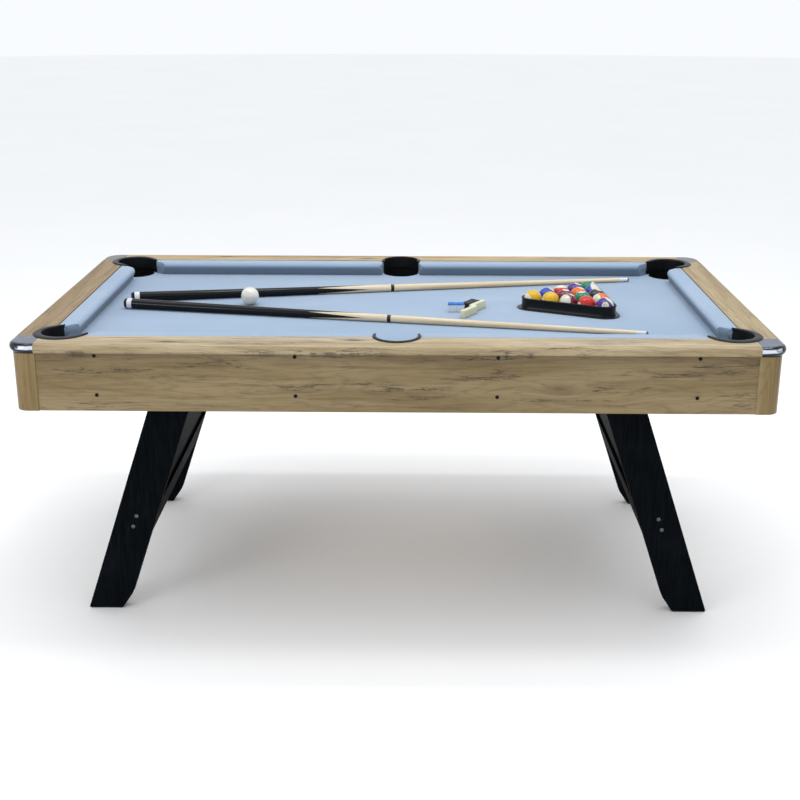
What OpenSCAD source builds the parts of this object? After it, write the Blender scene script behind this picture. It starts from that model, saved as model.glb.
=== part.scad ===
// Six-pocket pool table on two splayed leg frames, with its cues, balls, rack,
// chalk and brush lying on the bed.
// Frame: origin on the floor under the middle of the table, +X along the
// length, +Y towards the back long side, +Z up. Millimetres.

/* [Table] */
// Length over the wooden rails
table_l = 1900; // [1860:10:2100]
// Width over the wooden rails
table_w = 1080; // [1050:10:1250]
// Floor to the top of the wooden rails
table_h = 787; // [760:1:830]
// Width of the wooden rail, from its outer edge to the cushion
rail_w = 82; // [82:1:88]
// Thickness of the wooden rail, which has a full round outer edge
rail_t = 26; // [22:1:28]
// Corner radius of the rails in plan
corner_r = 50; // [46:1:54]
// How far the rails stand out over the aprons
overhang = 13; // [12:1:14]

/* [Cabinet] */
// Height of the aprons under the rails
apron_h = 147; // [140:1:160]
// Thickness of the aprons
apron_t = 18; // [15:1:19]
// Width of each face of a corner post
post_w = 60; // [58:1:62]
// How far the posts stand proud of the aprons
post_proud = 3; // [2:0.5:4]
// Distance of the inner apron screws from the middle
screw_x_inner = 247; // [220:1:270]
// Distance of the outer apron screws from the middle
screw_x_outer = 736; // [720:1:745]

/* [Playing surface] */
// Depth of the cloth below the rail tops
bed_drop = 38; // [36:1:40]
// Thickness of the bed board
bed_t = 18; // [15:1:20]
// Thickness of the bed cloth
cloth_t = 1; // [0.8:0.1:1.5]
// Width of a cushion from the wood to its nose
cushion_w = 50; // [46:1:54]
// Height of the cushion nose above the cloth
nose_h = 31; // [29:1:33]

/* [Pockets] */
// Half width of a corner pocket's mouth
corner_pocket_r = 53; // [51:0.5:54]
// Half width of a side pocket's mouth
side_pocket_r = 51.5; // [49:0.5:52]
// Outer radius of a corner pocket's flange
corner_rim_r = 70; // [69:0.5:72]
// Outer radius of a side pocket's flange
side_rim_r = 61; // [60:0.5:64]
// Height of a pocket flange above the rail
rim_h = 3.5; // [2.5:0.5:5]
// Depth of a pocket cup below the cloth
cup_depth = 98; // [80:1:110]

/* [Legs] */
// Lean of the legs from the vertical, in degrees
leg_lean = 18.8; // [16:0.2:21]
// Width of a leg plank measured level
leg_w = 106; // [96:1:110]
// Thickness of a leg plank
leg_t = 36; // [30:1:40]
// Distance of the outer bottom corner of a foot from the middle
foot_x = 838; // [800:1:850]
// Distance of the outer face of a leg from the middle, across the table
leg_y = 391; // [370:1:405]
// Level of the middle of the stretcher
stretcher_z = 258; // [230:1:290]
// Height of the stretcher
stretcher_h = 94; // [80:1:100]

/* [Play set] */
// Diameter of a ball
ball_d = 50.8; // [48:0.1:51.5]
// Length of the front cue
cue_l = 1448; // [1380:1:1460]
// Length of the rear cue
cue_rear_l = 1500; // [1400:1:1505]
// Diameter of a cue at its butt
cue_butt_d = 29; // [27:0.5:31]
// Diameter of a cue at its tip
cue_tip_d = 12.5; // [11:0.5:13.5]

/* [Hidden] */
$fn = 64;
eps = 0.01;

wood = "#c3aa7d";
wood_dark = "#96825f";
inner_wood = "#b89b6c";
cloth_blue = "#b2c6de";
leg_black = "#15181b";
pocket_black = "#26282b";
chrome = "#b9bec6";
steel = "#6d7073";

// levels
rail_bottom = table_h - rail_t;
apron_bottom = rail_bottom - apron_h;
cloth_top = table_h - bed_drop;
board_top = cloth_top - cloth_t;
board_bottom = board_top - bed_t;
nose_z = cloth_top + nose_h;
beam_bottom = apron_bottom + 26;
bearer_top = beam_bottom + 24;
cup_bottom = cloth_top - cup_depth;

// plan distances from the middle
half_l = table_l / 2;
half_w = table_w / 2;
wood_x = half_l - rail_w;
wood_y = half_w - rail_w;
apron_x = half_l - overhang;
apron_y = half_w - overhang;
inner_x = apron_x - apron_t;
inner_y = apron_y - apron_t;
post_x = apron_x + post_proud;
post_y = apron_y + post_proud;
cap_x = post_x - post_w + 1;
cap_y = wood_y - 3;
post_r = 32;

// pockets: the corner centre lies inside the wood corner by corner_in, the
// side centre lies just inside the wooden rail
corner_in = 32.5;
corner_c = [wood_x - corner_in, wood_y - corner_in];
side_c = [0, wood_y - 7];
liner_t = 3;
gap = 0.5;
corner_hole_r = corner_pocket_r + liner_t + gap;
side_hole_r = side_pocket_r + liner_t + gap;
corner_rim_back = 4.5;
corner_tip_a = 35;
side_tip_a = 14.5;
corner_wall_a = 33;
side_wall_a = -5;
corner_flange_r = 62;
side_flange_r = inner_y - side_c[1] - gap;
side_splay = 59;

// legs
pad_t = 4;
lean = tan(leg_lean);
leg_top = beam_bottom;
leg_inner_y = leg_y - leg_t;
bolt_pitch = 32;

// play set
cue_front_butt = [-771, -25];
cue_front_tip = [651, -297];
cue_rear_butt = [-769, 47.5];
cue_rear_tip = [702.5, 338.5];
cue_ball_at = [-424, 21];
rack_at = [472, -41];
rack_turn = -25;
ball_pitch = ball_d + 1.6;
rack_wall = 5;
rack_h = 32;
rack_flange = 11;
chalk_at = [159, -45];
brush_at = [212, -65];
brush_turn = 58;
clear = 0.3;

// ------------------------------------------------------------ helpers

// Places a child made in the +X +Y quarter into the quarter with signs sx, sy
module quarter(sx, sy) {
    mirror([sx < 0 ? 1 : 0, 0, 0]) mirror([0, sy < 0 ? 1 : 0, 0]) children();
}

// Pocket opening in plan: a round back with straight sides running to the
// mouth, drawn with +X along the pocket's axis towards the bed
module pocket_u(r, reach) {
    circle(r);
    translate([0, -r]) square([reach, 2 * r]);
}

// Turns a child drawn on the pocket axis into a corner pocket of the +X +Y
// quarter, where the axis points to the middle of the table
module at_corner_pocket() {
    translate(corner_c) rotate(225) children();
}

module at_side_pocket() {
    translate(side_c) rotate(270) children();
}

// What the six pockets take out of the rails and caps
module pocket_cuts(z0, z1) {
    for (sx = [-1, 1], sy = [-1, 1]) quarter(sx, sy)
        translate([0, 0, z0]) linear_extrude(z1 - z0)
            at_corner_pocket() pocket_u(corner_hole_r, 120);
    for (sy = [-1, 1]) quarter(1, sy)
        translate([0, 0, z0]) linear_extrude(z1 - z0)
            at_side_pocket() pocket_u(side_hole_r, 120);
}

// What one pocket takes out of a cushion: room for the liner's wall behind
// wall_a, and the straight mouth in front of it
module cushion_cut(r, hole_r, wall_a) {
    intersection() {
        pocket_u(hole_r, max(wall_a + gap, 1));
        translate([-2 * hole_r, -hole_r]) square([2 * hole_r + wall_a + gap, 2 * hole_r]);
    }
    pocket_u(r, 120);
}

module corner_cushion_cut() {
    translate([0, 0, cloth_top - 1]) linear_extrude(bed_drop + 2) at_corner_pocket()
        cushion_cut(corner_pocket_r, corner_hole_r, corner_wall_a);
}

module side_cushion_cut() {
    translate([0, 0, cloth_top - 1]) linear_extrude(bed_drop + 2) at_side_pocket()
        cushion_cut(side_pocket_r, side_hole_r, side_wall_a);
}

// Round holes of the bed under the pockets
module bed_holes(z0, z1) {
    for (sx = [-1, 1], sy = [-1, 1])
        translate([sx * corner_c[0], sy * corner_c[1], z0]) cylinder(r = corner_hole_r, h = z1 - z0);
    for (sy = [-1, 1])
        translate([0, sy * side_c[1], z0]) cylinder(r = side_hole_r, h = z1 - z0);
}

// ------------------------------------------------------------ bed

module bed_outline() {
    difference() {
        square([2 * inner_x, 2 * inner_y], center = true);
        for (sx = [-1, 1], sy = [-1, 1]) quarter(sx, sy)
            translate([post_x - post_w, post_y - post_w]) square(post_w);
    }
}

module bed_board() {
    color(inner_wood) difference() {
        translate([0, 0, board_bottom]) linear_extrude(bed_t) bed_outline();
        bed_holes(board_bottom - 1, board_top + 1);
    }
}

module bed_cloth() {
    color(cloth_blue) difference() {
        translate([0, 0, board_top]) linear_extrude(cloth_t) bed_outline();
        bed_holes(board_top - 1, cloth_top + 1);
    }
}

// ------------------------------------------------------------ cushions

// Section of a cushion: x runs from the wood towards the bed
module cushion_section() {
    polygon([
        [0, cloth_top], [cushion_w - 10, cloth_top], [cushion_w, nose_z - 10],
        [cushion_w, nose_z - 4], [cushion_w - 9, table_h], [0, table_h]
    ]);
}

// Cushion of a long side, in the +X +Y quarter. Its ends are cut along the
// corner pocket's mouth and splayed at the side pocket.
module long_cushion() {
    color(cloth_blue) difference() {
        translate([side_pocket_r, wood_y, 0]) rotate([90, 0, 90])
            mirror([1, 0, 0]) linear_extrude(wood_x - side_pocket_r) cushion_section();
        corner_cushion_cut();
        side_cushion_cut();
        translate([0, 0, cloth_top - 1]) linear_extrude(bed_drop + 2)
            polygon([[0, wood_y - cushion_w - 1], [side_splay, wood_y - cushion_w - 1],
                [side_hole_r, wood_y + 1], [0, wood_y + 1]]);
        // what would be left beyond the corner pocket
        translate([corner_c[0] - 20, wood_y - cushion_w - 1, cloth_top - 1])
            cube([200, cushion_w + 2, bed_drop + 2]);
    }
}

// Cushion of the end in +X, whole width
module end_cushion() {
    color(cloth_blue) difference() {
        translate([wood_x, -wood_y, 0]) rotate([90, 0, 180])
            linear_extrude(2 * wood_y) cushion_section();
        for (sy = [-1, 1]) quarter(1, sy) {
            corner_cushion_cut();
            translate([wood_x - cushion_w - 1, corner_c[1] - 20, cloth_top - 1])
                cube([cushion_w + 2, 200, bed_drop + 2]);
        }
    }
}

module cushion_front_left() { quarter(-1, -1) long_cushion(); }
module cushion_front_right() { quarter(1, -1) long_cushion(); }
module cushion_back_left() { quarter(-1, 1) long_cushion(); }
module cushion_back_right() { quarter(1, 1) long_cushion(); }
module cushion_left_end() { quarter(-1, 1) end_cushion(); }
module cushion_right_end() { end_cushion(); }

// ------------------------------------------------------------ rails

// Section of a rail: x runs outwards from the cushion, with the round edge
// outside and the foot that stands on the bed inside
module rail_section(foot) {
    r = rail_t / 2;
    translate([0, rail_bottom]) square([rail_w - r, rail_t]);
    translate([rail_w - r, rail_bottom + r]) circle(r);
    translate([0, cloth_top]) square([foot, rail_bottom - cloth_top + eps]);
}

// Holes for the upper row of apron screws in a long rail's foot
module upper_screw_holes() {
    for (x = [-screw_x_outer, -screw_x_inner, screw_x_inner, screw_x_outer])
        translate([x, inner_y + 1, upper_screw_z]) rotate([90, 0, 0])
            cylinder(r = screw_r + 0.1, h = screw_l - apron_t + 1);
}

module long_rail() {
    color(wood) difference() {
        translate([-cap_x, wood_y, 0]) rotate([90, 0, 90])
            linear_extrude(2 * cap_x) rail_section(inner_y - wood_y);
        pocket_cuts(cloth_top - 1, table_h + 1);
        for (sx = [-1, 1]) quarter(sx, 1)
            translate([post_x - post_w, wood_y - 1, cloth_top - 1])
                cube([post_w, post_w, rail_bottom - cloth_top + 1]);
        upper_screw_holes();
    }
}

module end_rail() {
    color(wood) difference() {
        translate([wood_x, cap_y, 0]) rotate([90, 0, 0])
            linear_extrude(2 * cap_y) rail_section(inner_x - wood_x);
        pocket_cuts(cloth_top - 1, table_h + 1);
    }
}

module rail_front() { quarter(1, -1) long_rail(); }
module rail_back() { long_rail(); }
module rail_left() { quarter(-1, 1) end_rail(); }
module rail_right() { end_rail(); }

// ------------------------------------------------------------ corner caps

module cap_body() {
    r = rail_t / 2;
    cx = half_l - corner_r;
    cy = half_w - corner_r;
    translate([cx, cy, rail_bottom + r]) rotate_extrude(angle = 90) {
        translate([corner_r - r, 0]) circle(r);
        translate([0, -r]) square([corner_r - r, rail_t]);
    }
    translate([cap_x, half_w - r, rail_bottom + r]) rotate([0, 90, 0]) cylinder(r = r, h = cx - cap_x);
    translate([half_l - r, cap_y, rail_bottom + r]) rotate([-90, 0, 0]) cylinder(r = r, h = cy - cap_y);
    translate([cap_x, cap_y, rail_bottom]) cube([cx - cap_x, half_w - r - cap_y, rail_t]);
    translate([cap_x, cap_y, rail_bottom]) cube([half_l - r - cap_x, cy - cap_y, rail_t]);
}

module corner_cap() {
    shell = 3;
    color(chrome) difference() {
        cap_body();
        pocket_cuts(rail_bottom - 1, table_h + 1);
        // hollow underside
        translate([half_l - 50, cap_y + 4, rail_bottom - 1]) cube([26, 57, rail_t + 1 - shell]);
        translate([cap_x + 4, cap_y + 32, rail_bottom - 1])
            cube([half_l - 24 - cap_x - 4, 29, rail_t + 1 - shell]);
    }
}

module corner_cap_front_left() { quarter(-1, -1) corner_cap(); }
module corner_cap_front_right() { quarter(1, -1) corner_cap(); }
module corner_cap_back_left() { quarter(-1, 1) corner_cap(); }
module corner_cap_back_right() { corner_cap(); }

// ------------------------------------------------------------ pockets

// Liner on the pocket axis: a C-shaped flange on the rail, whose outer circle
// is set back by rim_back, and a wall inside that ends at wall_a
module liner(r, rim_r, rim_back, tip_a, wall_a) {
    tip_b = sqrt(pow(rim_r, 2) - pow(tip_a + rim_back, 2));
    tip_r = (tip_b - r) / 2;
    difference() {
        union() {
            translate([0, 0, table_h]) linear_extrude(rim_h) difference() {
                translate([-rim_back, 0]) circle(rim_r);
                translate([tip_a, -rim_r]) square([rim_r, 2 * rim_r]);
            }
            translate([0, 0, cloth_top]) linear_extrude(bed_drop + 1) difference() {
                pocket_u(r + liner_t, max(wall_a, 1));
                translate([wall_a, -rim_r]) square([2 * rim_r, 2 * rim_r]);
            }
        }
        translate([0, 0, cloth_top - 1]) linear_extrude(bed_drop + rim_h + 2) pocket_u(r, 2 * rim_r);
    }
    // round tips, a hair wider than the arms so that their faces cross
    for (s = [-1, 1]) translate([tip_a, s * (r + tip_r), table_h])
        cylinder(r = tip_r + 2 * eps, h = rim_h);
}

// Bucket that hangs under the bed and catches the balls
module cup(r, flange_r) {
    floor_t = 3;
    difference() {
        union() {
            translate([0, 0, cup_bottom]) cylinder(r = r + liner_t, h = cloth_top - cup_bottom);
            translate([0, 0, board_bottom - 3]) cylinder(r = flange_r, h = 3);
        }
        translate([0, 0, cup_bottom + floor_t]) cylinder(r = r, h = cup_depth);
    }
}

module corner_liner() {
    color(pocket_black) at_corner_pocket()
        liner(corner_pocket_r, corner_rim_r, corner_rim_back, corner_tip_a, corner_wall_a);
}

module side_liner() {
    color(pocket_black) at_side_pocket() liner(side_pocket_r, side_rim_r, 0, side_tip_a, side_wall_a);
}

module corner_cup() { color(pocket_black) translate(corner_c) cup(corner_pocket_r, corner_flange_r); }
module side_cup() { color(pocket_black) translate(side_c) cup(side_pocket_r, side_flange_r); }

module pocket_liner_front_left() { quarter(-1, -1) corner_liner(); }
module pocket_liner_front_right() { quarter(1, -1) corner_liner(); }
module pocket_liner_back_left() { quarter(-1, 1) corner_liner(); }
module pocket_liner_back_right() { corner_liner(); }
module pocket_liner_front_side() { quarter(1, -1) side_liner(); }
module pocket_liner_back_side() { side_liner(); }
module pocket_cup_front_left() { quarter(-1, -1) corner_cup(); }
module pocket_cup_front_right() { quarter(1, -1) corner_cup(); }
module pocket_cup_back_left() { quarter(-1, 1) corner_cup(); }
module pocket_cup_back_right() { corner_cup(); }
module pocket_cup_front_side() { quarter(1, -1) side_cup(); }
module pocket_cup_back_side() { side_cup(); }

// ------------------------------------------------------------ cabinet

screw_r = 3;
screw_l = 45;
upper_screw_z = rail_bottom - 6;
lower_screw_z = apron_bottom + 41;

module screw_grid() {
    for (x = [-screw_x_outer, -screw_x_inner, screw_x_inner, screw_x_outer])
        for (z = [lower_screw_z, upper_screw_z]) translate([x, 0, z]) children();
}

module long_apron() {
    end = post_x - post_w;
    color(wood_dark) difference() {
        translate([-end, inner_y, apron_bottom]) cube([2 * end, apron_t, apron_h]);
        screw_grid() translate([0, inner_y - 1, 0]) rotate([-90, 0, 0])
            cylinder(r = screw_r + 0.1, h = apron_t + 2);
    }
}

module end_apron() {
    end = post_y - post_w;
    color(wood_dark) translate([inner_x, -end, apron_bottom]) cube([apron_t, 2 * end, apron_h]);
}

module apron_front() { quarter(1, -1) long_apron(); }
module apron_back() { long_apron(); }
module apron_left() { quarter(-1, 1) end_apron(); }
module apron_right() { end_apron(); }

// Post with a rounded outer corner and a small round along both front edges
module corner_post() {
    edge = 3;
    x0 = post_x - post_w;
    y0 = post_y - post_w;
    color(wood_dark) translate([0, 0, apron_bottom]) linear_extrude(apron_h) {
        translate([x0, y0]) square([post_w - post_r, post_w - edge]);
        translate([x0, y0]) square([post_w - edge, post_w - post_r]);
        translate([x0 + edge, y0]) square([post_w - post_r - edge, post_w]);
        translate([x0, y0 + edge]) square([post_w, post_w - post_r - edge]);
        translate([x0 + edge, post_y - edge]) circle(edge);
        translate([post_x - edge, y0 + edge]) circle(edge);
        translate([post_x - post_r, post_y - post_r]) intersection() {
            circle(post_r);
            square(post_r);
        }
        translate([x0, y0]) square(post_w - post_r);
    }
}

module corner_post_front_left() { quarter(-1, -1) corner_post(); }
module corner_post_front_right() { quarter(1, -1) corner_post(); }
module corner_post_back_left() { quarter(-1, 1) corner_post(); }
module corner_post_back_right() { corner_post(); }

module apron_screws() {
    color(leg_black) for (sy = [-1, 1]) quarter(1, sy) screw_grid()
        translate([0, apron_y, 0]) rotate([90, 0, 0]) {
            cylinder(r = screw_r, h = screw_l);
            translate([0, 0, -2.2]) cylinder(r = 4.6, h = 2.2);
        }
}

// Four boards on edge that carry the bed between the long aprons
module cross_beams() {
    beam_t = 18;
    color(inner_wood) for (x = [-screw_x_outer, -screw_x_inner, screw_x_inner, screw_x_outer])
        difference() {
            translate([x - beam_t / 2, -inner_y, beam_bottom])
                cube([beam_t, 2 * inner_y, board_bottom - beam_bottom]);
            for (s = [-1, 1]) translate([x, s * (inner_y + 1), lower_screw_z]) rotate([s * 90, 0, 0])
                cylinder(r = screw_r + 0.1, h = screw_l - apron_t + 1);
        }
}

// ------------------------------------------------------------ legs

// Outer and inner edge of a leg plank at height z
function outer_at(z) = foot_x - lean * z;
function inner_at(z) = outer_at(z) - leg_w;

bearer_x = outer_at(leg_top) - leg_w / 2;
bearer_w = 150;
rib_off = 45;

module leg_bearer() {
    color(inner_wood) difference() {
        translate([bearer_x - bearer_w / 2, -inner_y, beam_bottom])
            cube([bearer_w, 2 * inner_y, bearer_top - beam_bottom]);
        for (sy = [-1, 1]) quarter(1, sy) bracket_holes_up() cylinder(r = 2.1, h = 18);
    }
}

// Boards on edge between the leg bearers and the bed
module bearer_ribs() {
    rib_t = 18;
    color(inner_wood) for (sx = [-1, 1], s = [-1, 1])
        translate([sx * bearer_x + s * rib_off - rib_t / 2, -inner_y, bearer_top])
            cube([rib_t, 2 * inner_y, board_bottom - bearer_top]);
}

// Side view of the leg plank: the inner bottom corner is cut back
module leg_outline() {
    cut_z = 46;
    cut_x = 14;
    polygon([
        [outer_at(pad_t), pad_t], [outer_at(leg_top), leg_top], [inner_at(leg_top), leg_top],
        [inner_at(cut_z), cut_z], [inner_at(pad_t) + cut_x, pad_t]
    ]);
}

// Centres of the two stretcher bolts, in the side view
module leg_bolt_places() {
    for (s = [-1, 1]) {
        z = stretcher_z + s * bolt_pitch / 2 * cos(leg_lean);
        translate([outer_at(z) - leg_w / 2, 0, z]) children();
    }
}

module leg() {
    color(leg_black) difference() {
        translate([0, leg_y, 0]) rotate([90, 0, 0]) linear_extrude(leg_t) leg_outline();
        leg_bolt_places() translate([0, leg_y + 1, 0]) rotate([90, 0, 0])
            cylinder(r = 3.6, h = leg_t + 2);
        bracket_holes_side() cylinder(r = 2.1, h = 16);
    }
}

module leg_front_left() { quarter(-1, -1) leg(); }
module leg_front_right() { quarter(1, -1) leg(); }
module leg_back_left() { quarter(-1, 1) leg(); }
module leg_back_right() { leg(); }

// Slab between the two legs of an end, from level z0 to z1, between two
// distances measured level from the planks' inner edge
module between_legs(z0, z1, near, far) {
    translate([0, leg_inner_y, 0]) rotate([90, 0, 0]) linear_extrude(2 * leg_inner_y)
        polygon([
            [inner_at(z0) + near, z0], [inner_at(z0) + far, z0],
            [inner_at(z1) + far, z1], [inner_at(z1) + near, z1]
        ]);
}

module leg_panel() {
    color(leg_black) between_legs(stretcher_z + stretcher_h / 2, leg_top, 10, 26);
}

module stretcher() {
    color(leg_black) difference() {
        between_legs(stretcher_z - stretcher_h / 2, stretcher_z + stretcher_h / 2, 1, leg_w - 18);
        for (sy = [-1, 1]) quarter(1, sy) leg_bolt_places()
            translate([0, leg_inner_y + 1, 0]) rotate([90, 0, 0]) cylinder(r = 3.6, h = 31);
    }
}

module leg_panel_left() { quarter(-1, 1) leg_panel(); }
module leg_panel_right() { leg_panel(); }
module stretcher_left() { quarter(-1, 1) stretcher(); }
module stretcher_right() { stretcher(); }
module leg_bearer_left() { quarter(-1, 1) leg_bearer(); }
module leg_bearer_right() { leg_bearer(); }

module leg_bolts() {
    color(steel) for (sx = [-1, 1], sy = [-1, 1]) quarter(sx, sy)
        leg_bolt_places() translate([0, leg_y, 0]) rotate([90, 0, 0]) {
            cylinder(r = 3.5, h = leg_t + 29);
            translate([0, 0, -1.5]) cylinder(r = 5.5, h = 1.5);
        }
}

// Steel angle that ties a leg to the bearer above it
bracket_t = 3;
bracket_w = 46;
bracket_drop = 55;
bracket_reach = 42;
bracket_x = inner_at(leg_top - bracket_drop / 2) + 62;

module bracket_holes_side() {
    for (s = [-1, 1]) translate([bracket_x + s * 12, leg_inner_y, leg_top - 36])
        rotate([-90, 0, 0]) children();
}

module bracket_holes_up() {
    for (s = [-1, 1]) translate([bracket_x + s * 12, leg_inner_y - 26, leg_top]) children();
}

module leg_brackets() {
    color(steel) for (sx = [-1, 1], sy = [-1, 1]) quarter(sx, sy) difference() {
        translate([bracket_x - bracket_w / 2, leg_inner_y, leg_top]) {
            translate([0, -bracket_t, -bracket_drop]) cube([bracket_w, bracket_t, bracket_drop]);
            translate([0, -bracket_reach, -bracket_t]) cube([bracket_w, bracket_reach, bracket_t]);
        }
        bracket_holes_side() translate([0, 0, -bracket_t - 1]) cylinder(r = 2.1, h = bracket_t + 2);
        bracket_holes_up() translate([0, 0, -bracket_t - 1]) cylinder(r = 2.1, h = bracket_t + 2);
    }
}

module bracket_screws() {
    color(steel) for (sx = [-1, 1], sy = [-1, 1]) quarter(sx, sy) {
        bracket_holes_side() bracket_screw();
        bracket_holes_up() bracket_screw();
    }
}

module bracket_screw() {
    translate([0, 0, -bracket_t]) cylinder(r = 2, h = bracket_t + 15);
    translate([0, 0, -bracket_t - 2]) cylinder(r = 4, h = 2);
}

module foot_pads() {
    inset = 3;
    color(pocket_black) for (sx = [-1, 1], sy = [-1, 1]) quarter(sx, sy)
        translate([inner_at(pad_t) + 14 + inset, leg_inner_y + inset, 0])
            cube([leg_w - 14 - 2 * inset, leg_t - 2 * inset, pad_t]);
}

// ------------------------------------------------------------ play set

// Tapered cue lying on the cloth from its butt to its tip
module cue(butt, tip, length) {
    dir = tip - butt;
    turn = atan2(dir[1], dir[0]);
    dip = asin((cue_butt_d - cue_tip_d) / 2 / length);
    color("#d8c39a") translate([butt[0], butt[1], cloth_top + clear + cue_butt_d / 2])
        rotate([0, 0, turn]) rotate([0, 90 + dip, 0])
            cylinder(d1 = cue_butt_d, d2 = cue_tip_d, h = length);
}

module cue_front() { cue(cue_front_butt, cue_front_tip, cue_l); }
module cue_rear() { cue(cue_rear_butt, cue_rear_tip, cue_rear_l); }

module cue_ball() {
    color("ivory") translate([cue_ball_at[0], cue_ball_at[1], cloth_top + clear + ball_d / 2])
        sphere(d = ball_d);
}

module rack_place() {
    translate([rack_at[0], rack_at[1], cloth_top + clear]) rotate(rack_turn) children();
}

// Five rows of balls, the row of five towards the front
module object_balls() {
    color("firebrick") rack_place() for (row = [0:4]) for (i = [0:4 - row])
        translate([(i - (4 - row) / 2) * ball_pitch, row * ball_pitch * sqrt(3) / 2, ball_d / 2])
            sphere(d = ball_d);
}

// Triangle with round corners: the corner centres are those of the outer balls
module rounded_triangle(r) {
    side = 4 * ball_pitch;
    hull() for (p = [[-side / 2, 0], [side / 2, 0], [0, side * sqrt(3) / 2]])
        translate(p) circle(r, $fn = 48);
}

// Wall round the balls with a broad flange at its foot
module ball_rack() {
    inner = ball_d / 2 + 2;
    flange_t = 3;
    color(pocket_black) rack_place() difference() {
        union() {
            linear_extrude(rack_h) rounded_triangle(inner + rack_wall);
            linear_extrude(flange_t) rounded_triangle(inner + rack_wall + rack_flange);
        }
        translate([0, 0, -1]) linear_extrude(rack_h + 2) rounded_triangle(inner);
    }
}

// Clear box that holds two cubes of chalk
module chalk_box() {
    color("dodgerblue") translate([chalk_at[0] - 24, chalk_at[1] - 12.5, cloth_top + clear])
        cube([48, 25, 24]);
}

// Small brush lying on its side: a stepped handle with a block of bristles
module table_brush() {
    brush_h = 22;
    color("lightyellow") translate([brush_at[0], brush_at[1], cloth_top + clear]) rotate(brush_turn)
        linear_extrude(brush_h) {
            polygon([[-70, -6], [2, -6], [12, 6], [72, 6], [72, 20], [0, 20], [-10, 8], [-70, 8]]);
            translate([16, 19.9]) square([54, 32]);
        }
}

bed_board();
bed_cloth();
cushion_front_left();
cushion_front_right();
cushion_back_left();
cushion_back_right();
cushion_left_end();
cushion_right_end();
rail_front();
rail_back();
rail_left();
rail_right();
corner_cap_front_left();
corner_cap_front_right();
corner_cap_back_left();
corner_cap_back_right();
pocket_liner_front_left();
pocket_liner_front_right();
pocket_liner_back_left();
pocket_liner_back_right();
pocket_liner_front_side();
pocket_liner_back_side();
pocket_cup_front_left();
pocket_cup_front_right();
pocket_cup_back_left();
pocket_cup_back_right();
pocket_cup_front_side();
pocket_cup_back_side();
apron_front();
apron_back();
apron_left();
apron_right();
corner_post_front_left();
corner_post_front_right();
corner_post_back_left();
corner_post_back_right();
cross_beams();
bearer_ribs();
leg_bearer_left();
leg_bearer_right();
leg_front_left();
leg_front_right();
leg_back_left();
leg_back_right();
leg_panel_left();
leg_panel_right();
stretcher_left();
stretcher_right();
leg_brackets();
bracket_screws();
leg_bolts();
apron_screws();
foot_pads();
cue_front();
cue_rear();
cue_ball();
object_balls();
ball_rack();
chalk_box();
table_brush();
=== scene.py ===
import math
import random

import bmesh
import bpy
from mathutils import Matrix, Vector


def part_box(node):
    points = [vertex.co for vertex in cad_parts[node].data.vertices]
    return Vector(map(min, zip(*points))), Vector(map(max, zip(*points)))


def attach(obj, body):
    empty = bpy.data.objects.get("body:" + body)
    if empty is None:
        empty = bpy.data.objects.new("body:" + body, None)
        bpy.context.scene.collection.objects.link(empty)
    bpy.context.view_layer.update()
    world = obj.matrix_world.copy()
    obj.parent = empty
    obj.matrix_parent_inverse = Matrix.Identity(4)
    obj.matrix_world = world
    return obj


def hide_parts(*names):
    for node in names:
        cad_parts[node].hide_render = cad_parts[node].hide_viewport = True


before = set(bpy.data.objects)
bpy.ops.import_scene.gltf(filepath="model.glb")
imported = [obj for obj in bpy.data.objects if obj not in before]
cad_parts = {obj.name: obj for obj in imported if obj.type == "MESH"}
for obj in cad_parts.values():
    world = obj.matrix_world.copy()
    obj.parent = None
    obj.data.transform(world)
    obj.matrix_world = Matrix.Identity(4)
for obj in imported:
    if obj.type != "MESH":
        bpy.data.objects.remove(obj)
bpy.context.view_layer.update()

# ---- places
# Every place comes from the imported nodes, in metres.

CLOTH_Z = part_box("bed_cloth")[1].z
RAIL_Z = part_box("rail_front")[1].z
WOOD_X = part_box("cushion_right_end")[1].x
WOOD_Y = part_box("cushion_back_right")[1].y
CUSHION_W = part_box("cushion_right_end")[1].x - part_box("cushion_right_end")[0].x
CLEAR = 0.0003
RNG = random.Random(7)
# pockets, each with the signs of its X and Y
PLACES = {
    "front_left": (-1, -1), "front_right": (1, -1), "back_left": (-1, 1), "back_right": (1, 1),
    "front_side": (0, -1), "back_side": (0, 1),
}


def link(obj):
    """Puts an object in the scene."""
    bpy.context.scene.collection.objects.link(obj)
    return obj


def mesh_of(curve):
    """The mesh that a curve or a text makes."""
    held = link(bpy.data.objects.new(curve.name, curve))
    mesh = bpy.data.meshes.new_from_object(held.evaluated_get(bpy.context.evaluated_depsgraph_get()))
    bpy.data.objects.remove(held)
    return mesh


def unit(angle):
    """Direction in plan."""
    return Vector((math.cos(angle), math.sin(angle)))


def turns(count):
    """Evenly spaced angles of one full turn."""
    return [2 * math.pi * k / count for k in range(count)]


def middle(node):
    low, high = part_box(node)
    return (low + high) / 2


def size(node):
    low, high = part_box(node)
    return high - low


# ---- mesh tools


def finish_mesh(bm, name, materials, sharp=38):
    """Turns bm into an object: faces smooth, edges sharper than the angle kept hard."""
    bmesh.ops.recalc_face_normals(bm, faces=bm.faces)
    for face in bm.faces:
        face.smooth = True
    for edge in bm.edges:
        if len(edge.link_faces) == 2 and edge.calc_face_angle(0) > math.radians(sharp):
            edge.smooth = False
    mesh = bpy.data.meshes.new(name)
    bm.to_mesh(mesh)
    bm.free()
    for material in materials if isinstance(materials, (list, tuple)) else [materials]:
        mesh.materials.append(material)
    return link(bpy.data.objects.new(name, mesh))


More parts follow.
